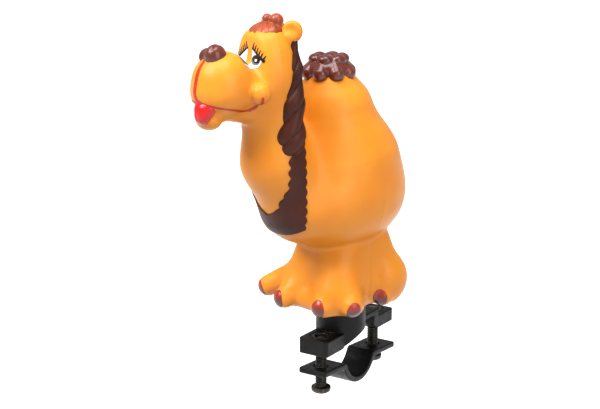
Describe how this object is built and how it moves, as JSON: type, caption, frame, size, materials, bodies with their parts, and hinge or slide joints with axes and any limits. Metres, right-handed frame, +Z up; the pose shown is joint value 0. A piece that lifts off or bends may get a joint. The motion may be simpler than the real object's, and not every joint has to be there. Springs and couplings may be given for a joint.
{
  "type": "bicycle horn",
  "caption": "Squeeze horn for a handlebar: a soft hollow camel with a reed unit inside, standing on a plastic clamp bracket with a strap and screws.",
  "frame": {"origin": "on the handlebar's axis, half way between the two clamp screws and at the middle of the clamp's width", "axes": "+X along the handlebar, +Z up through the camel, -Y towards the camel's head"},
  "size_m": [0.0585, 0.1087, 0.1634],
  "materials": {
    "soft_vinyl": "satin painted soft vinyl, warm orange with dark brown hair",
    "black_plastic": "moulded, satin",
    "black_steel": "blackened steel",
    "reed_plastic": "moulded, natural",
    "reed_brass": "thin rolled strip"
  },
  "bodies": {
    "bracket": {"clamp_bracket": "black_plastic", "clamp_nut_front": "black_steel", "clamp_nut_rear": "black_steel", "reed_housing": "reed_plastic", "reed_block": "reed_plastic", "reed_wedge": "reed_plastic"},
    "camel": {"camel_bulb": "soft_vinyl"},
    "tongue": {"reed_tongue": "reed_brass"},
    "strap": {"clamp_strap": "black_plastic"},
    "front_screw": {"clamp_screw_front": "black_steel"},
    "rear_screw": {"clamp_screw_rear": "black_steel"}
  },
  "joints": [
    {"name": "camel_turn", "type": "hinge", "parent": "bracket", "child": "camel", "pos_m": [0, -0.006, 0.0241], "axis": [0, 0, 1], "continuous": true},
    {"name": "strap_slide", "type": "slide", "parent": "bracket", "child": "strap", "axis": [0, 0, 1], "range_m": [-0.0015, 0.004]},
    {"name": "front_screw_turn", "type": "hinge", "parent": "strap", "child": "front_screw", "pos_m": [0, -0.0218, 0], "axis": [0, 0, 1], "range_deg": [-675, 1800]},
    {"name": "rear_screw_turn", "type": "hinge", "parent": "strap", "child": "rear_screw", "pos_m": [0, 0.0218, 0], "axis": [0, 0, 1], "range_deg": [-675, 1800]},
    {"name": "tongue_flex", "type": "hinge", "parent": "bracket", "child": "tongue", "pos_m": [0, -0.0055, 0.0303], "axis": [1, 0, 0], "range_deg": [-1.5, 4], "stiffness_Nm_per_rad": 0.001}
  ],
  "couplings": [
    {"joint": "front_screw_turn", "follows": "strap_slide", "rad_per_m": 7854},
    {"joint": "rear_screw_turn", "follows": "strap_slide", "rad_per_m": 7854}
  ]
}
